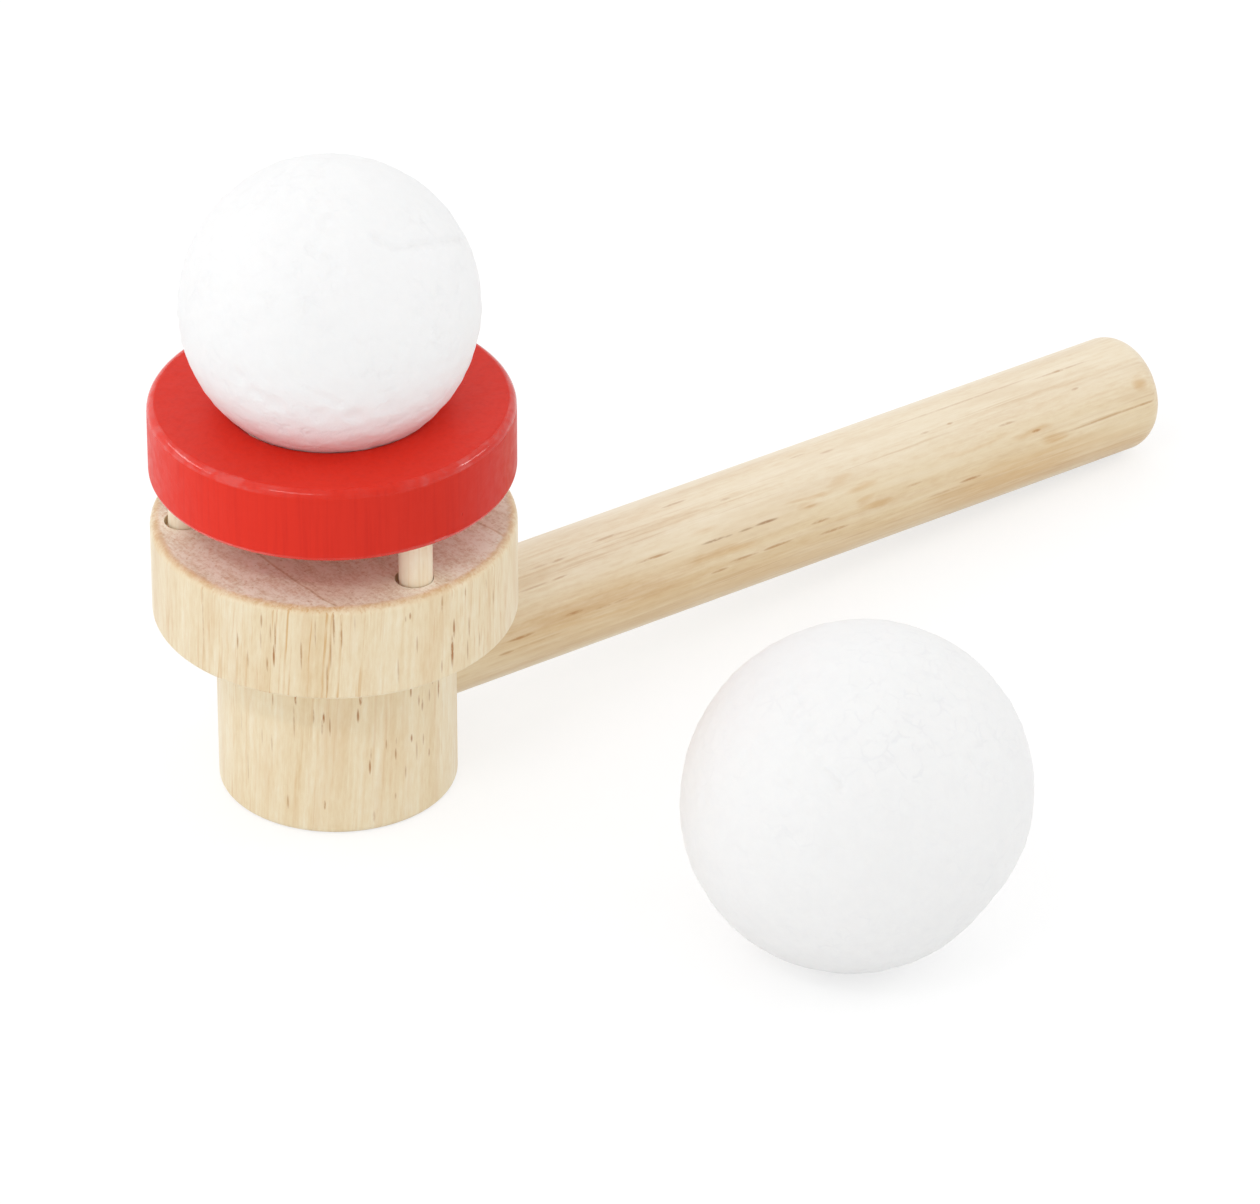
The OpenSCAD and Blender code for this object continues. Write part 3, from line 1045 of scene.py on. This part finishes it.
@dataclass(frozen=True)
class Softbox:
    """An oblong lamp that points at the toy.

    Attributes:
        name: Name of the lamp.
        bearing: Bearing seen from above, in degrees from +X.
        lift: Height above the table, in degrees.
        away: Distance in metres.
        width: Width of the lamp in metres.
        height: Height of the lamp in metres.
        power: Power in watts.
    """

    name: str
    bearing: float
    lift: float
    away: float
    width: float
    height: float
    power: float

    def hang(self, target: Vector) -> None:
        """Adds the lamp.

        Args:
            target: The point that it shines at.
        """
        way = direction(self.bearing, self.lift)
        data = bpy.data.lights.new(self.name, "AREA")
        data.shape = "RECTANGLE"
        data.energy, data.size, data.size_y = self.power, self.width, self.height
        lamp = bpy.data.objects.new(self.name, data)
        lamp.matrix_world = (Matrix.Translation(target + way * self.away)
                             @ way.to_track_quat("Z", "Y").to_matrix().to_4x4())
        bpy.context.scene.collection.objects.link(lamp)


@dataclass
class Studio:
    """The pale floor, the lamps, the white surroundings and the camera.

    Attributes:
        sky: Strength of the white surroundings as light.
        sky_fall: How much weaker they are towards the dim side.
        dim_side: Bearing of the dim side, in degrees.
        floor_size: Length of the floor's sides in metres.
        floor_tone: Tone of the floor.
        floor_share: How much of the floor's own light and shadow the camera sees.
        floor_glow: Plain white that the camera sees over the floor.
        target: What the lamps point at.
        lamps: The lamps.
        lens: Focal length of the camera in millimetres.
        camera_place: Place of the camera in metres.
        camera_lift: How far the camera looks down, in degrees.
        camera_turn: Where it looks seen from above, in degrees from +Y.
    """

    sky: float = 1.12
    sky_fall: float = 0.08
    dim_side: float = 300.0
    floor_size: float = 8.0
    floor_tone: float = 0.9
    floor_share: float = 0.37
    floor_glow: float = 0.67
    target: Vector = field(default_factory=lambda: Vector((0.02, -0.02, 0.035)))
    lamps: tuple[Softbox, ...] = (
        Softbox("left_softbox", bearing=128.0, lift=32.0, away=0.9, width=0.6, height=0.03, power=0.7),
        Softbox("right_softbox", bearing=-27.0, lift=31.0, away=0.9, width=0.3, height=0.05, power=0.6),
        Softbox("front_softbox", bearing=205.0, lift=48.0, away=0.9, width=0.3, height=0.04, power=0.8),
    )
    lens: float = 266.81
    camera_place: Place = (-0.586909, -0.793241, 0.633218)
    camera_lift: float = 31.68
    camera_turn: float = -38.62

    def surroundings(self) -> None:
        """Sets the white world, which the camera sees as plain white."""
        world = bpy.data.worlds.new("white_surroundings")
        bpy.context.scene.world = world
        world.use_nodes = True
        nodes, links = world.node_tree.nodes, world.node_tree.links
        nodes.clear()
        path = nodes.new("ShaderNodeLightPath")
        seen = nodes.new("ShaderNodeMath")
        seen.operation = "MAXIMUM"
        links.new(path.outputs["Is Camera Ray"], seen.inputs[0])
        links.new(path.outputs["Is Transmission Ray"], seen.inputs[1])
        way = nodes.new("ShaderNodeVectorMath")
        way.operation = "DOT_PRODUCT"
        links.new(nodes.new("ShaderNodeTexCoord").outputs["Generated"], way.inputs[0])
        way.inputs[1].default_value = direction(self.dim_side, 0.0) * -self.sky_fall
        light = nodes.new("ShaderNodeMath")
        light.inputs[1].default_value = self.sky
        links.new(way.outputs["Value"], light.inputs[0])
        strength = nodes.new("ShaderNodeMapRange")
        links.new(seen.outputs[0], strength.inputs["Value"])
        links.new(light.outputs[0], strength.inputs[3])
        strength.inputs[4].default_value = 1.0
        back = nodes.new("ShaderNodeBackground")
        links.new(strength.outputs[0], back.inputs["Strength"])
        out = nodes.new("ShaderNodeOutputWorld")
        links.new(back.outputs[0], out.inputs["Surface"])

    def floor(self) -> None:
        """Lays the plain pale floor, which the camera sees as white with faint shadows."""
        deselect_all()
        bpy.ops.mesh.primitive_plane_add(size=self.floor_size, location=(0.0, 0.0, 0.0))
        floor = bpy.context.object
        floor.name = "floor"
        graph = Graph("pale_floor")
        path = graph.add("LightPath")
        seen = graph.math("MAXIMUM", path.outputs["Is Camera Ray"], path.outputs["Is Glossy Ray"])
        seen = graph.math("MAXIMUM", seen, path.outputs["Is Transmission Ray"])
        plain = graph.add("BsdfDiffuse", {"Color": (self.floor_tone,) * 3})
        faint = graph.add("BsdfDiffuse", {"Color": (self.floor_share,) * 3})
        glow = graph.add("Emission", {"Color": (1.0, 1.0, 1.0), "Strength": self.floor_glow})
        white = graph.add("AddShader", {0: faint.outputs[0], 1: glow.outputs[0]})
        both = graph.add("MixShader", {0: seen, 1: plain.outputs[0], 2: white.outputs[0]})
        floor.data.materials.append(graph.finish(both.outputs[0]))

    def camera(self) -> None:
        """Adds the camera, level and looking down at the toy from the front left."""
        data = bpy.data.cameras.new("camera")
        data.sensor_width, data.sensor_fit, data.lens = 36.0, "HORIZONTAL", self.lens
        data.clip_end = 50.0
        camera = bpy.data.objects.new("camera", data)
        camera.location = self.camera_place
        camera.rotation_euler = (math.radians(90 - self.camera_lift), 0.0, math.radians(self.camera_turn))
        bpy.context.scene.collection.objects.link(camera)
        bpy.context.scene.camera = camera

    def set_up(self) -> None:
        """Builds the whole studio."""
        self.surroundings()
        self.floor()
        for lamp in self.lamps:
            lamp.hang(self.target)
        self.camera()
        bpy.context.scene.view_settings.view_transform = "Standard"
        LOG.info("studio: %d lamps", len(self.lamps))


def main() -> None:
    """Builds every piece in order, then the studio."""
    logging.basicConfig(level=logging.INFO, format="%(name)s %(message)s")
    made: dict[str, bpy.types.Material] = {}
    for piece in (SolidPiece("head", HEAD_WOOD), SolidPiece("pipe", PIPE_WOOD), SolidPiece("ring", RED_PAINT),
                  SolidPiece("pipe_pin", PIN_WOOD), SolidPiece("side_pin", PIN_WOOD),
                  SolidPiece("front_pin", PIN_WOOD), FLOATING_BALL, SPARE_BALL):
        piece.dress(made)
    Studio().set_up()


if __name__ == "__main__":
    main()
